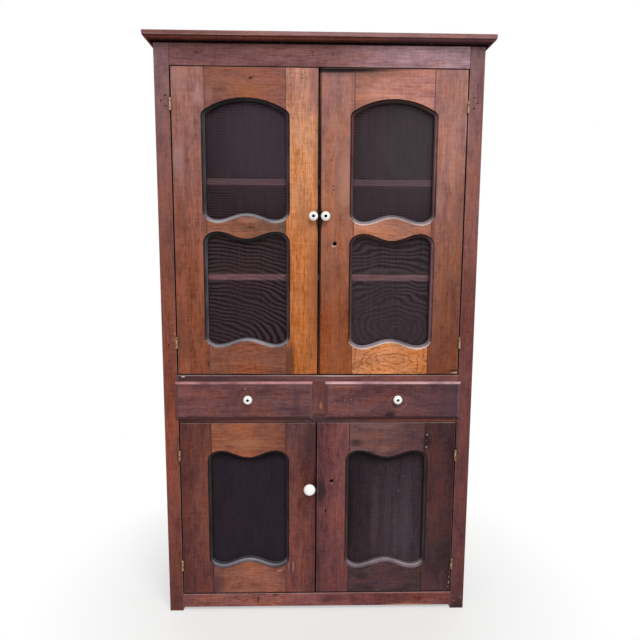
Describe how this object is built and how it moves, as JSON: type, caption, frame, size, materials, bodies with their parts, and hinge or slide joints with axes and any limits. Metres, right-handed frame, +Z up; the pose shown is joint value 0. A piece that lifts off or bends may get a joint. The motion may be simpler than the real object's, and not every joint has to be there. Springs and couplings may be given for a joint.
{
  "type": "pie safe",
  "caption": "Tall stained pie safe with wire-screened upper doors, lipped drawers and panelled lower doors with cupid's-bow edges, on butt hinges with white porcelain knobs",
  "frame": {"origin": "on the floor, in the middle of the outer box, which the cornice sets at the sides and the back boards and the drawer knobs set front to rear", "axes": "+Z up, +X to the right as seen from the front, -Y out of the front with the doors"},
  "size_m": [1.17, 0.4574, 2.067],
  "materials": {
    "case_wood": "worn red brown stain, satin",
    "door_wood": "worn orange brown varnish, satin",
    "drawer_wood": "dark red brown stain, satin",
    "dark_panel": "near-black paint, matt",
    "wire_cloth": "dark painted woven wire",
    "old_brass": "dull, rubbed",
    "porcelain": "glazed white porcelain"
  },
  "bodies": {
    "case": {"left_side": "case_wood", "right_side": "case_wood", "left_stile": "case_wood", "right_stile": "case_wood", "frieze": "case_wood", "cornice": "case_wood", "back": "case_wood", "bottom_board": "case_wood", "drawer_floor": "case_wood", "upper_floor": "case_wood", "low_shelf": "case_wood", "high_shelf": "case_wood", "drawer_divider": "case_wood", "upper_left_top_hinge_frame_leaf": "old_brass", "upper_left_bottom_hinge_frame_leaf": "old_brass", "upper_right_top_hinge_frame_leaf": "old_brass", "upper_right_bottom_hinge_frame_leaf": "old_brass", "lower_left_top_hinge_frame_leaf": "old_brass", "lower_left_bottom_hinge_frame_leaf": "old_brass", "lower_right_top_hinge_frame_leaf": "old_brass", "lower_right_bottom_hinge_frame_leaf": "old_brass"},
    "upper_left_door": {"upper_left_hinge_stile": "door_wood", "upper_left_meeting_stile": "door_wood", "upper_left_top_rail": "door_wood", "upper_left_middle_rail": "door_wood", "upper_left_bottom_rail": "door_wood", "upper_left_screen": "wire_cloth", "upper_left_knob": "porcelain", "upper_left_top_hinge_door_leaf": "old_brass", "upper_left_bottom_hinge_door_leaf": "old_brass"},
    "upper_right_door": {"upper_right_hinge_stile": "door_wood", "upper_right_meeting_stile": "door_wood", "upper_right_top_rail": "door_wood", "upper_right_middle_rail": "door_wood", "upper_right_bottom_rail": "door_wood", "upper_right_screen": "wire_cloth", "upper_right_knob": "porcelain", "upper_right_top_hinge_door_leaf": "old_brass", "upper_right_bottom_hinge_door_leaf": "old_brass"},
    "lower_left_door": {"lower_left_hinge_stile": "door_wood", "lower_left_meeting_stile": "door_wood", "lower_left_top_rail": "door_wood", "lower_left_bottom_rail": "door_wood", "lower_left_panel": "dark_panel", "lower_left_knob": "porcelain", "lower_left_top_hinge_door_leaf": "old_brass", "lower_left_bottom_hinge_door_leaf": "old_brass"},
    "lower_right_door": {"lower_right_hinge_stile": "door_wood", "lower_right_meeting_stile": "door_wood", "lower_right_top_rail": "door_wood", "lower_right_bottom_rail": "door_wood", "lower_right_panel": "dark_panel", "lower_right_top_hinge_door_leaf": "old_brass", "lower_right_bottom_hinge_door_leaf": "old_brass"},
    "left_drawer": {"left_drawer_front": "drawer_wood", "left_drawer_box": "case_wood", "left_drawer_knob": "porcelain"},
    "right_drawer": {"right_drawer_front": "drawer_wood", "right_drawer_box": "case_wood", "right_drawer_knob": "porcelain"}
  },
  "joints": [
    {"name": "upper_left_hinge", "type": "hinge", "parent": "case", "child": "upper_left_door", "pos_m": [-0.50275, -0.19605, 1.436], "axis": [0, 0, -1], "range_deg": [0, 170]},
    {"name": "upper_right_hinge", "type": "hinge", "parent": "case", "child": "upper_right_door", "pos_m": [0.50275, -0.19605, 1.436], "axis": [0, 0, 1], "range_deg": [0, 170]},
    {"name": "lower_left_hinge", "type": "hinge", "parent": "case", "child": "lower_left_door", "pos_m": [-0.50275, -0.19605, 0.4], "axis": [0, 0, -1], "range_deg": [0, 170]},
    {"name": "lower_right_hinge", "type": "hinge", "parent": "case", "child": "lower_right_door", "pos_m": [0.50275, -0.19605, 0.4], "axis": [0, 0, 1], "range_deg": [0, 170]},
    {"name": "left_drawer_slide", "type": "slide", "parent": "case", "child": "left_drawer", "axis": [0, -1, 0], "range_m": [0, 0.28]},
    {"name": "right_drawer_slide", "type": "slide", "parent": "case", "child": "right_drawer", "axis": [0, -1, 0], "range_m": [0, 0.28]}
  ]
}
